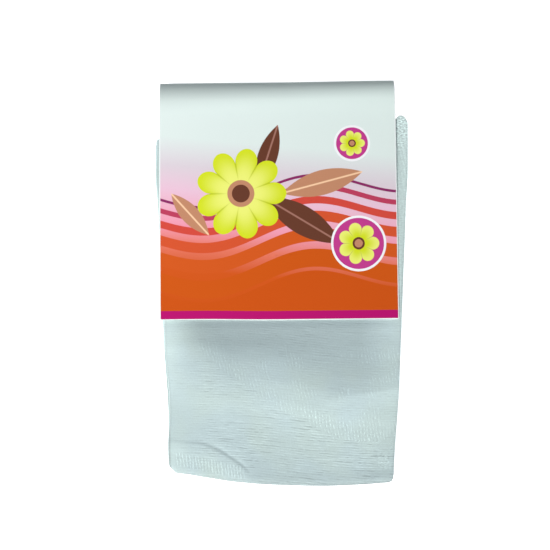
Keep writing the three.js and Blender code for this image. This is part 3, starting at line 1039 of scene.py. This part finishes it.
    def tint(self, red: float, green: float, blue: float) -> Colour:
        """The yarn's colour, turned a little."""
        return tuple(c * k for c, k in zip(self.colour, (red, green, blue)))


@dataclass(frozen=True)
class Bend:
    """The counts of rows before and after the turn of a folded path.

    Attributes:
        before: the rows of the straight stretch before the turn.
        after: the rows of the straight stretch after it.
    """

    before: int
    after: int

    def column(self, start: float, turn: np.ndarray, end: float) -> np.ndarray:
        """One column of the path's rows, level on both straight stretches."""
        return np.concatenate([np.full(self.before, start), turn, np.full(self.after, end)])


def run_length(*steps: np.ndarray) -> np.ndarray:
    """The length from the start of a path to each of its points, from its steps along two axes."""
    return np.concatenate([[0], np.cumsum(np.hypot(*steps))])


@dataclass
class FoldedPanel:
    """The crown and nape flap: doubled about its middle at the right, folded up at the foot.

    Lengths are in millimetres.

    Attributes:
        shape: the stack that it lies in.
        fold_radius: half the height of the rounded fold at the right.
        fold_depth: how far that fold reaches to the side.
        fold_reach: the length over which the two layers draw apart before it.
        hem_setback: how far the hems lie further in on the front.
        hem_stray: how far they stray from a straight line.
        stray_pattern: how they stray.
        layer_shift: how far apart the two layers read that pattern.
        back_setback: how far below the front's top the back's lies.
        foot_square: how the foot is folded: 1 would be round, and less is squarer.
        cut: the width and length of the flat sheet in metres, known once it is built.
    """

    shape: ClothShape
    fold_radius: float = 1.25
    fold_depth: float = 1.0
    fold_reach: float = 6.5
    hem_setback: float = 1.4
    hem_stray: float = 0.5
    stray_pattern: Unevenness = Unevenness(11, 30, 34)
    layer_shift: float = 40.0
    back_setback: float = 2.0
    foot_square: float = 0.75
    cut: tuple[float, float] = field(init=False)

    def spread(self, across: np.ndarray) -> np.ndarray:
        """How much further apart than usual the two layers lie near the right fold."""
        from_fold = (1 - across) * self.shape.half_width
        return (self.fold_radius - self.shape.pitch / 2) * hump(from_fold, 0, self.fold_reach)

    def section(self) -> dict[str, np.ndarray]:
        """The panel across: the outer layer, round the right fold, and the inner layer.

        Returns:
            Columns of shares across, offsets, normals and lengths from the outer hem.
        """
        half_pitch = self.shape.pitch / 2
        edge = 1 - 0.5 / self.shape.half_width
        left = ((-1.0, -edge, 2),)
        right = ((0.84, 0.876, 4), (0.876, 0.908, 8), (0.908, 1.0, 10))
        outer = clustered((*left, (-edge, -0.9, 6), (-0.9, -0.15, 60), (-0.15, 0.84, 36), *right))
        inner = clustered((*left, (-edge, 0.84, 36), *right))[::-1]
        angles = np.linspace(math.pi / 2, -math.pi / 2, 13)[1:-1]
        bulge = self.fold_depth / self.shape.half_width * np.cos(angles)
        across = np.concatenate([outer, 1 + bulge, inner])
        offset = np.concatenate([
            half_pitch + self.spread(outer),
            self.fold_radius * np.sin(angles),
            -half_pitch - self.spread(inner),
        ])
        dx = -(self.fold_depth + KNIT_WALL / 2) * smooth(across, 0.8, 1.0)
        x = across * self.shape.half_width + dx
        run_x, run_n = np.gradient(x), np.gradient(offset)
        size = np.hypot(run_x, run_n)
        return {
            "across": across,
            "dx": dx,
            "offset": offset,
            "normal_x": -run_n / size,
            "normal_out": run_x / size,
            "length": run_length(np.diff(x), np.diff(offset)),
            "inner": (np.arange(len(across)) >= len(outer) + len(angles)).astype(float),
        }

    def path(self) -> dict[str, np.ndarray]:
        """The panel's way from its back end, round the foot and up the front.

        Returns:
            Columns of shares along, lengths past them, heights, normals and lengths of the way.
        """
        shape = self.shape
        middle, radius = shape.stack / 2, shape.stack / 2 - shape.pair / 2
        end = 1 - self.back_setback / shape.length
        back = clustered(((0.0, 0.06, 8), (0.06, end - 0.002, 46), (end - 0.002, end, 1)))[::-1]
        front = clustered((
            (0.0, 0.15, 46), (0.15, 0.22, 9), (0.22, 0.29, 22), (0.29, 0.46, 20),
            (0.46, 0.92, 24), (0.92, 0.998, 12), (0.998, 1.0, 1),
        ))
        angles = np.linspace(-math.pi / 2, math.pi / 2, 25)[1:-1]
        turn = np.stack([np.cos(angles), np.sin(angles)])
        reach, rise = radius * signed_power(turn, self.foot_square)
        facing = signed_power(turn, 2 - self.foot_square)
        facing /= np.linalg.norm(facing, axis=0)
        bend = Bend(len(back), len(front))
        none = np.zeros(len(angles))
        along = np.concatenate([back, none, front])
        dy = bend.column(0.0, -reach, 0.0)
        height = bend.column(middle - radius, middle + rise, middle + radius)
        turned = run_length(np.diff(dy), np.diff(height))
        return {
            "along": along,
            "dy": dy,
            "height": height,
            "normal_y": bend.column(0.0, -facing[0], 0.0),
            "normal_z": bend.column(-1.0, facing[1], 1.0),
            "length": run_length(np.diff(along) * shape.length + np.diff(dy), np.diff(height)),
            "turned": turned - turned[-1] / 2,
            "side": bend.column(-1.0, none, 1.0),
            "front": smooth(np.linspace(0, 1, len(along)), 0.35, 0.6),
        }

    def surface(self, side: float) -> np.ndarray:
        """One face of the sheet.

        Args:
            side: half the wall outwards, or less than 0 for the inner face.

        Returns:
            Its grid of points in millimetres.
        """
        s = {key: value[None, :] for key, value in self.section().items()}
        p = {key: value[:, None] for key, value in self.path().items()}
        out = s["offset"] + side * s["normal_out"]
        hem = self.hem_setback * p["front"] * (1 - 0.5 * s["inner"]) * np.clip(-s["across"], 0, 1) ** 8
        strays = self.hem_stray * np.clip(-s["across"], 0, 1) ** 6
        strays = strays * self.stray_pattern.at(p["length"], self.layer_shift * s["inner"])
        return self.shape.place(
            s["across"],
            s["dx"] + side * s["normal_x"] + hem + strays,
            p["along"],
            p["dy"] + out * p["normal_y"],
            p["height"] + out * p["normal_z"],
        )

    def build(self) -> bpy.types.Object:
        """Makes the crown panel's piece.

        Returns:
            The piece, still without its finish.
        """
        s, p = self.section(), self.path()
        across, along = s["across"][None, :], p["along"][:, None]
        foot, _ = self.shape.span(across)
        v = foot + p["turned"][:, None] + p["side"][:, None] * (self.shape.line(across, along) - foot)
        # The third number, how far the cloth faces away in the foot's fold, places the knit's painted shade
        # there.
        flat = np.broadcast_arrays(s["length"][None, :], v, np.abs(p["normal_y"])[:, None])
        faces = (self.surface(KNIT_WALL / 2), self.surface(-KNIT_WALL / 2))
        self.cut = (s["length"][-1] * MM, p["length"][-1] * MM)
        return SheetMesh("crown_panel_knit", *faces, np.stack(flat, axis=-1), KNIT_RIM).build()


@dataclass
class FoldedTie:
    """One long tie, folded to and fro inside the crown.

    Lengths are in millimetres.

    Attributes:
        shape: the stack that it lies in.
        side: the side of the pack that it lies on.
        width: the tie's width.
        runs: how many times it runs along the pack.
        run_rows: the rows of points along one run.
        turn_rows: the rows of points round one turn, with its ends.
        columns: the columns of points between its narrow sides.
        side_share: the share across of those sides.
        middle_gap: the room between the two ties.
        top_setback: how far below the cloth's top its runs end.
        foot_clearance: how far above the foot's fold they end.
        crease_clearance: how far above the curved crease they end.
        cut: the width and length of the flat sheet in metres, known once it is built.
    """

    shape: ClothShape
    side: Side
    width: float = 63.0
    runs: int = 4
    run_rows: int = 40
    turn_rows: int = 9
    columns: int = 26
    side_share: float = 0.006
    middle_gap: float = 4.0
    top_setback: float = 9.0
    foot_clearance: float = 2.5
    crease_clearance: float = 7.0
    cut: tuple[float, float] = field(init=False)

    def foot_share(self, across: np.ndarray) -> np.ndarray:
        """Where the runs end above the foot's fold.

        Args:
            across: shares across the cloth.

        Returns:
            Shares of the way from the foot's fold to the top.
        """
        shape = self.shape
        crease = shape.crease.read("along", across) * shape.length + self.crease_clearance + shape.pitch / 2
        foot, _ = shape.span(across)
        over_fold = crease - (foot - shape.foot_y)
        return np.maximum(self.foot_clearance + shape.pitch / 2, over_fold) / shape.length

    def rows(self) -> list[tuple[float, ...]]:
        """Follows the tie up and down through its runs and turns.

        Returns:
            One row for each place: the share of the way up, the length past it, the height, and
            how far the face looks along the pack and upwards.
        """
        shape = self.shape
        half_pitch = shape.pitch / 2
        rows = []
        for run in range(self.runs):
            upward = run % 2 == 0
            start, end, way = (0.0, 1.0, 1.0) if upward else (1.0, 0.0, -1.0)
            height = shape.pair + shape.gap + shape.wall / 2 + run * shape.pitch
            rows += [(share, 0.0, height, 0.0, way) for share in np.linspace(start, end, self.run_rows)]
            if run == self.runs - 1:
                break
            for angle in np.linspace(-math.pi / 2, math.pi / 2, self.turn_rows)[1:-1]:
                out, up = math.cos(angle), math.sin(angle)
                rows.append((end, half_pitch * way * out, height + half_pitch * (1 + up), -out, -way * up))
        return rows

    def build(self) -> bpy.types.Object:
        """Makes the tie's piece.

        Returns:
            The piece, still without its finish.
        """
        shape = self.shape
        near = self.middle_gap / 2 / shape.half_width
        far = near + self.width / shape.half_width
        first, last = near + self.side_share, far - self.side_share
        stops = ((near, first, 1), (first, last, self.columns), (last, far, 1))
        across = np.sort(self.side.value * clustered(stops))[None, :]
        low, high = self.foot_share(across), 1 - self.top_setback / shape.length
        share, dy, height, normal_y, normal_z = (np.array(column)[:, None] for column in zip(*self.rows()))
        along = low + (high - low) * share
        faces = [
            shape.place(across, np.zeros(1), along, dy + half * normal_y, height + half * normal_z)
            for half in (KNIT_WALL / 2, -KNIT_WALL / 2)
        ]
        middle = (faces[0] + faces[1]) / 2
        steps = np.linalg.norm(np.diff(middle.mean(axis=1), axis=0), axis=1)
        v = np.concatenate([[0], np.cumsum(steps)])[:, None]
        u = (across - across.min()) * shape.half_width
        flat = np.stack(np.broadcast_arrays(u, v, 0.0), axis=-1)
        self.cut = (self.width * MM, float(v[-1, 0]) * MM)
        return SheetMesh(f"{self.side.name.lower()}_tie_knit", *faces, flat, KNIT_RIM).build()


@dataclass(frozen=True)
class PrintedBoard:
    """White coated board with a print in the pack's colours and a bare plain back.

    Lengths are in millimetres. The places x and y run from the middle of the front's lower edge.

    Attributes:
        length: the length of the front panel.
        half_width: half the board's width.
        name: the material's name.
        unprinted: the width of the white line along its edges.
        border: the height of the plain border at the lower edge.
    """

    length: float
    half_width: float
    name: str = "printed_board"
    unprinted: float = 0.45
    border: float = 5.4

    def make(self) -> bpy.types.Material:
        """Builds the printed material.

        Returns:
            The finished material.
        """
        kit = FinishKit(self.name)
        vector, x, y, front = kit.place()
        motifs = self.motifs(kit, x, y, self.ribbons(kit, x, y, self.ground(kit, x, y)))
        inked = kit.mix(y.rise(self.border, self.border - 0.3), motifs, seen(186, 4, 108))
        grain = kit.noise(vector, 2.2, 2.0, 0.6) - 0.5
        # Painted shade: the print is a little darker to the right, and where the board rolls away at the
        # top.
        tone = 1 + grain * 0.05 - x * 0.0009 - (y - x * 0.08).rise(126.0, 143.0) * 0.22
        inset = (self.half_width - x.math("ABSOLUTE")).math("MINIMUM", y)
        printed = inset.rise(self.unprinted - 0.1, self.unprinted + 0.1) * front
        ripple = kit.blotches(x * 0.03, y * 0.03)
        return kit.surface(
            Base_Color=kit.mix(printed, seen(240, 246, 243), kit.toned(inked, tone)),
            Roughness=0.64 - 0.06 * printed, Normal=kit.bump(ripple + grain * 0.02, 0.4, 0.3),
            Specular_IOR_Level=0.16,
        )

    def ground(self, kit: FinishKit, x: Wire, y: Wire) -> Wire:
        """The soft fade behind everything, from pale mint at the fold to pink and orange.

        Args:
            kit: the finish being made.
            x: the place across the board.
            y: the place above the front's lower edge.

        Returns:
            The colour.
        """
        stops = (
            (0.00, seen(206, 82, 8)), (0.17, seen(212, 86, 20)), (0.27, seen(232, 120, 96)),
            (0.36, seen(243, 158, 178)), (0.50, seen(236, 196, 214)), (0.60, seen(222, 210, 216)),
            (0.72, seen(226, 237, 231)), (1.00, seen(226, 240, 233)),
        )
        height = (y + x * 0.10) / self.length
        return kit.node("ValToRGB", {"stops": stops}, {"Fac": height}, "Color")

    def ribbons(self, kit: FinishKit, x: Wire, y: Wire, ground: Wire) -> Wire:
        """Waving ribbons that thicken and warm towards the lower edge.

        Args:
            kit: the finish being made.
            x: the place across the board.
            y: the place above the front's lower edge.
            ground: the colour behind them.

        Returns:
            The colour with the ribbons on it.
        """
        sway = (x * (2 * math.pi / 118.0) + 0.6).math("SINE") * 7.0
        ride = y - sway - x * 0.07
        colour = ground
        lines = (
            (76.0, 1.6, (140, 42, 98)), (69.5, 3.0, (190, 62, 92)), (61.5, 4.4, (214, 74, 60)),
            (52.0, 6.0, (216, 84, 44)), (41.0, 8.0, (213, 88, 24)), (27.5, 10.5, (208, 86, 8)),
        )
        for middle, width, ink in lines:
            off = (ride - middle).math("ABSOLUTE")
            colour = kit.mix(off.rise(width / 2 + 0.15, width / 2 - 0.15), colour, seen(*ink))
        low = ride.rise(20.3, 20.0)
        return kit.mix(low, colour, seen(206, 82, 6))

    def motifs(self, kit: FinishKit, x: Wire, y: Wire, ground: Wire) -> Wire:
        """A large open blossom, leaves round it and two small ringed blossoms.

        Args:
            kit: the finish being made.
            x: the place across the board.
            y: the place above the front's lower edge.
            ground: the colour behind them.

        Returns:
            The colour with the motifs on it.
        """
        colour = ground
        brown, tan = seen(104, 58, 40), seen(196, 138, 104)
        lime, pale_lime = seen(214, 226, 30), seen(240, 244, 120)
        leaves = (
            (14.0, 58.0, -0.55, 27.0, 8.5, brown), (26.0, 80.0, 0.25, 25.0, 7.5, tan),
            (-6.0, 96.0, 1.25, 20.0, 6.0, brown), (-52.0, 62.0, 2.3, 17.0, 5.5, tan),
        )
        for cx, cy, turn, length, width, ink in leaves:
            colour = self.leaf(kit, x - cx, y - cy, turn, length, width, ink, colour)
        colour = self.blossom(kit, x + 22.0, y - 74.0, 27.0, 9, (pale_lime, lime, tan, brown), colour)
        inks = (lime, pale_lime, brown, tan)
        for cx, cy, radius in ((47.0, 44.0, 15.0), (44.0, 103.0, 9.5)):
            away = self.distance(x - cx, y - cy)
            colour = kit.mix(away.rise(radius + 1.35, radius + 1.15), colour, seen(248, 248, 248))
            colour = kit.mix(away.rise(radius, radius - 0.2), colour, seen(196, 60, 140))
            colour = self.blossom(kit, x - cx, y - cy, radius * 0.82, 7, inks, colour)
        return colour

    @staticmethod
    def distance(x: Wire, y: Wire) -> Wire:
        """The distance from the middle."""
        return (x * x + y * y).math("SQRT")

    def leaf(
        self, kit: FinishKit, x: Wire, y: Wire, turn: float, length: float, width: float,
        ink: Colour, ground: Wire,
    ) -> Wire:
        """One pointed leaf with a paler middle vein.

        Args:
            kit: the finish being made.
            x: the place to the right of the leaf's middle.
            y: the place above it.
            turn: the way that it points, in radians.
            length: half its length.
            width: half its width.
            ink: its colour.
            ground: the colour behind it.

        Returns:
            The colour with the leaf on it.
        """
        ahead = x * math.cos(turn) + y * math.sin(turn)
        beside = (y * math.cos(turn) - x * math.sin(turn)).math("ABSOLUTE")
        inside = (1 - (ahead / length) ** 2.0) * width - beside
        mask = inside.rise(0.0, 0.35) * ahead.math("ABSOLUTE").rise(length, length - 0.3)
        pale = tuple(min(1.0, c * 2.6 + 0.1) for c in ink)
        return kit.mix(mask, ground, kit.mix(beside.rise(0.7, 0.3) * 0.7, ink, pale))

    def blossom(
        self, kit: FinishKit, x: Wire, y: Wire, radius: float, petals: int,
        inks: tuple[Colour, Colour, Colour, Colour], ground: Wire,
    ) -> Wire:
        """A round blossom: petals that shade outwards, a ring and an eye.

        Args:
            kit: the finish being made.
            x: the place to the right of the blossom's middle.
            y: the place above it.
            radius: how far the petals reach.
            petals: how many there are.
            inks: the colours of the petals' inner and outer ends, the ring and the eye.
            ground: the colour behind it.

        Returns:
            The colour with the blossom on it.
        """
        heart, edge, ring, eye = inks
        away = self.distance(x, y)
        angle = y.math("ARCTAN2", x)
        lobe = (angle * (petals / 2)).math("COSINE").math("ABSOLUTE") ** 0.55
        reach = (0.66 + 0.34 * lobe) * radius
        petal = kit.mix((away / reach).rise(0.35, 1.0), heart, edge)
        crease = (1 - lobe).rise(0.55, 0.95) * away.rise(radius * 0.2, radius * 0.6)
        petal = kit.mix(crease * 0.55, petal, seen(150, 160, 20))
        colour = kit.mix((reach - away).rise(0.0, 0.35), ground, petal)
        colour = kit.mix(away.rise(radius * 0.30, radius * 0.29), colour, ring)
        return kit.mix(away.rise(radius * 0.2, radius * 0.19), colour, eye)


@dataclass(frozen=True)
class BareBoard:
    """The board's uncoated inside and cut edges.

    Attributes:
        name: the material's name.
    """

    name: str = "bare_board"

    def make(self) -> bpy.types.Material:
        """Builds the bare material.

        Returns:
            The finished material.
        """
        kit = FinishKit(self.name)
        fibre = kit.noise(kit.place()[0], 1.6, 4.0, 0.65)
        colour = kit.mix(fibre.rise(0.3, 0.7), seen(236, 238, 232), seen(246, 247, 244))
        normal = kit.bump(fibre, 0.05, 0.4)
        return kit.surface(Base_Color=colour, Roughness=0.8, Normal=normal, Specular_IOR_Level=0.3)


@dataclass
class HeaderCard:
    """The folded header card, as curled board.

    Lengths are in millimetres.

    Attributes:
        shape: the stack that it is folded round.
        width: the board's width.
        length: the length of the front panel.
        fold_length: how much of that the rolled fold takes.
        corner: the radius of the board's corners.
        edge_round: how far its rounded cut edge reaches past the sheet.
        edge_slack: how much lower the front's lower edge hangs than at its left end.
        fold_slack: how much further up the fold reaches at its right end, and a part of it elsewhere.
        slack_reach: how far up the front the edge's slack fades out.
        print_end: how far round the fold the print goes, from 90 degrees on the front.
    """

    shape: ClothShape
    width: float = 140.0
    length: float = 141.8
    fold_length: float = 12.5
    corner: float = 0.9
    edge_round: float = 0.12
    edge_slack: float = 0.65
    fold_slack: float = 0.65
    slack_reach: float = 60.0
    print_end: float = math.radians(-27.5)

    def path(self) -> dict[str, np.ndarray]:
        """The board's way from the front's lower edge, round the fold and down the back.

        Returns:
            Columns of lengths from the lower edges, lengths past them, heights, normals, lengths
            of the way, and 1 where the coated side is printed.
        """
        shape, board = self.shape, self.shape.board
        back_height = board / 2 - shape.seat
        front_height = shape.stack + shape.gap + board / 2
        middle, half_height = (back_height + front_height) / 2, (front_height - back_height) / 2
        reach = self.fold_length - board / 2
        flat_length = self.length - self.fold_length
        near = np.array([0.0, 0.1, 0.3, 0.6, 1.0]) * self.corner
        straight = np.concatenate([near, np.linspace(self.corner, flat_length, 46)[1:]])
        angles = np.linspace(math.pi / 2, -math.pi / 2, 37)[1:-1]
        turn = np.stack([np.cos(angles), np.sin(angles)])
        normals = turn / np.array([[reach], [half_height]])
        normals /= np.linalg.norm(normals, axis=0)
        bend = Bend(len(straight), len(straight))
        from_edge = np.concatenate([straight, np.full(len(angles), flat_length), straight[::-1]])
        dy = bend.column(0.0, reach * turn[0], 0.0)
        height = bend.column(front_height, middle + half_height * turn[1], back_height)
        return {
            "from_edge": from_edge,
            "dy": dy,
            "height": height,
            "normal_y": bend.column(0.0, normals[0], 0.0),
            "normal_z": bend.column(1.0, normals[1], -1.0),
            "length": run_length(np.diff(from_edge + dy), np.diff(height)),
            "front": bend.column(1.0, (angles > self.print_end).astype(float), 0.0),
        }

    def surface(self, side: float) -> np.ndarray:
        """One face of the board.

        Args:
            side: half the board's thickness outwards, or less than 0 for the inner face.

        Returns:
            Its grid of points in millimetres.
        """
        shape = self.shape
        p = {key: value[:, None] for key, value in self.path().items()}
        across = self.shares()[None, :]
        rounding = np.clip(self.corner - p["from_edge"], 0, self.corner)
        inset = self.corner - np.sqrt(np.maximum(self.corner**2 - rounding**2, 0))
        x = across * (self.width / 2 - inset)
        near_edge = 1 - smooth(p["from_edge"], 0.0, self.slack_reach)
        slack = self.edge_slack * smooth(across, -0.75, 0.0) * near_edge * p["front"]
        near_fold = smooth(p["from_edge"], 60.0, 125.0)
        slack = slack - self.fold_slack * (0.3 + 0.7 * smooth(across, 0.0, 1.0)) * near_fold
        y = shape.card_edge_y + p["from_edge"] + p["dy"] + side * p["normal_y"] - slack
        along = np.maximum((y - shape.foot_y) / shape.length, 0.46)
        height = p["height"] + side * p["normal_z"]
        z = shape.seat + height + shape.bow(across, along) * shape.lift_share(height)
        middle = shape.card_edge_y + self.length / 2
        turn = shape.card_turn
        turned_x = x * math.cos(turn) - (y - middle) * math.sin(turn) + shape.card_shift
        turned_y = x * math.sin(turn) + (y - middle) * math.cos(turn) + middle
        return np.stack([turned_x, turned_y, z], axis=-1)

    @staticmethod
    def shares() -> np.ndarray:
        """Where the board is cut across, close together at its sides."""
        return clustered(((-1.0, -0.992, 2), (-0.992, 0.992, 40), (0.992, 1.0, 2)))

    def build(self) -> bpy.types.Object:
        """Makes the card's piece.

        Returns:
            The piece, with the print on its outside and the bare board as its second finish.
        """
        p, across = self.path(), self.shares()
        flat = np.broadcast_arrays(across * self.width / 2, p["length"][:, None], p["front"][:, None])
        half = self.shape.board / 2
        faces = (self.surface(half), self.surface(-half))
        made = SheetMesh("header_card_board", *faces, np.stack(flat, axis=-1), self.edge_round).build()
        made.data.materials.append(PrintedBoard(self.length, self.width / 2).make())
        made.data.materials.append(BareBoard().make())
        outside = (len(p["length"]) - 1) * (len(across) - 1)
        bare = (np.arange(len(made.data.polygons)) >= outside).astype(np.int32)
        made.data.polygons.foreach_set("material_index", bare)
        return made


@dataclass(frozen=True)
class PaperFinish:
    """Matt white paper with a little light of its own.

    Attributes:
        name: the material's name.
        white: its lightness.
        glow: the strength of its own light.
    """

    name: str = "studio_paper"
    white: float = 0.93
    glow: float = 0.74

    def make(self) -> bpy.types.Material:
        """Builds the paper's material."""
        return FinishKit(self.name).surface(
            Base_Color=(self.white, self.white, self.white, 1.0), Roughness=0.95,
            Emission_Color=(1.0, 1.0, 1.0, 1.0), Emission_Strength=self.glow,
        )


@dataclass(frozen=True)
class Sun:
    """A broad distant light.

    Attributes:
        name: the light's name.
        source: the direction that it shines from.
        breadth: its breadth in the sky, in degrees.
        strength: its irradiance across its beam.
    """

    name: str
    source: tuple[float, float, float]
    breadth: float
    strength: float

    def build(self) -> None:
        """Makes the light."""
        data = bpy.data.lights.new(self.name, "SUN")
        data.angle = math.radians(self.breadth)
        data.energy = self.strength
        made = bpy.data.objects.new(self.name, data)
        made.rotation_euler = (-Vector(self.source)).to_track_quat("-Z", "Y").to_euler()
        bpy.context.scene.collection.objects.link(made)


@dataclass
class Studio:
    """The pale floor, the soft light from the lower left and the camera above the pack.

    Attributes:
        aim: the place that the camera looks at, in metres.
        distance: how far from there the camera is.
        elevation: how far above the horizon it is.
        lens: its focal length in millimetres.
        floor_side: the length of the floor's sides, in metres.
        floor_drop: how far below the pack the floor lies.
        suns: the distant lights.
        sky_strength: the strength of the light from all round.
    """

    aim: Vector = field(default_factory=lambda: Vector((-0.0032, 0.00395, 0.012)))
    distance: float = 0.480
    elevation: float = math.radians(87.0)
    lens: float = 53.55
    floor_side: float = 6.0
    floor_drop: float = 0.0002
    suns: tuple[Sun, ...] = (
        Sun("key_light", (-0.64, -0.57, 0.42), 24.0, 4.85),
        Sun("side_light", (0.70, -0.62, 0.42), 28.0, 1.65),
        Sun("rim_light", (0.95, -0.12, 0.25), 20.0, 0.6),
    )
    sky_strength: float = 0.22

    def build(self) -> None:
        """Makes everything round the pack."""
        self.floor()
        for sun in self.suns:
            sun.build()
        self.sky()
        self.camera()
        view = bpy.context.scene.view_settings
        view.view_transform = "Standard"
        view.look = "None"

    def floor(self) -> None:
        """A pale sheet that the pack lies on."""
        mesh = bpy.data.meshes.new("studio_floor")
        half = self.floor_side / 2
        corners = [(-half, -half, 0), (half, -half, 0), (half, half, 0), (-half, half, 0)]
        mesh.from_pydata(corners, [], [(0, 1, 2, 3)])
        made = bpy.data.objects.new("studio_floor", mesh)
        bpy.context.scene.collection.objects.link(made)
        made.location.z = CAD_BOUNDS[0].z - self.floor_drop
        mesh.materials.append(PaperFinish().make())
        made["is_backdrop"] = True

    def sky(self) -> None:
        """Even, slightly cool light from all round."""
        world = bpy.data.worlds.new("studio_sky")
        world.use_nodes = True
        back = world.node_tree.nodes["Background"]
        back.inputs["Color"].default_value = (0.90, 0.98, 1.14, 1.0)
        back.inputs["Strength"].default_value = self.sky_strength
        bpy.context.scene.world = world

    def camera(self) -> None:
        """A camera nearly straight above, with the photograph's frame."""
        data = bpy.data.cameras.new("studio_camera")
        data.lens = self.lens
        data.sensor_width = 36.0
        made = bpy.data.objects.new("studio_camera", data)
        away = Vector((0.0, -math.cos(self.elevation), math.sin(self.elevation)))
        made.location = self.aim + away * self.distance
        made.rotation_euler = (math.pi / 2 - self.elevation, 0.0, 0.0)
        data.clip_start = 0.01
        data.clip_end = 20.0
        bpy.context.scene.collection.objects.link(made)
        bpy.context.scene.camera = made


def dress(piece: bpy.types.Object, slot: Slot, *nodes: str) -> None:
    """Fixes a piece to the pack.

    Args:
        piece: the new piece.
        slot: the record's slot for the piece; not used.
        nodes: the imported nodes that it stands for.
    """
    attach(piece, BODY)
    if nodes:
        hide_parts(*nodes)
    log.info("%s: %d faces", piece.name, len(piece.data.polygons))


def main() -> None:
    """Builds the pack and its studio."""
    logging.basicConfig(level=logging.INFO, format="%(name)s: %(message)s")
    shape = ClothShape()
    Studio().build()
    yarn = (0.426, 0.514, 0.502)
    crown_finish = KnitFinish("crown_knit_yarn", yarn).make()
    tie_finish = KnitFinish("tie_knit_yarn", tuple(c * 0.97 for c in yarn)).make()

    panel = FoldedPanel(shape)
    crown = panel.build()
    crown.data.materials.append(crown_finish)
    dress(crown, Slot.CROWN, "crown_panel")

    for side, node in ((Side.LEFT, "left_tie"), (Side.RIGHT, "right_tie")):
        tie = FoldedTie(shape, side)
        piece = tie.build()
        piece.data.materials.append(tie_finish)
        dress(piece, Slot.TIE, node)

    card = HeaderCard(shape).build()
    dress(card, Slot.CARD, "header_card")

    boxes = {"cad": CAD_BOUNDS, "visual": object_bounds()}
    {name: [list(corner) for corner in corners] for name, corners in boxes.items()}


if __name__ == "__main__":
    main()
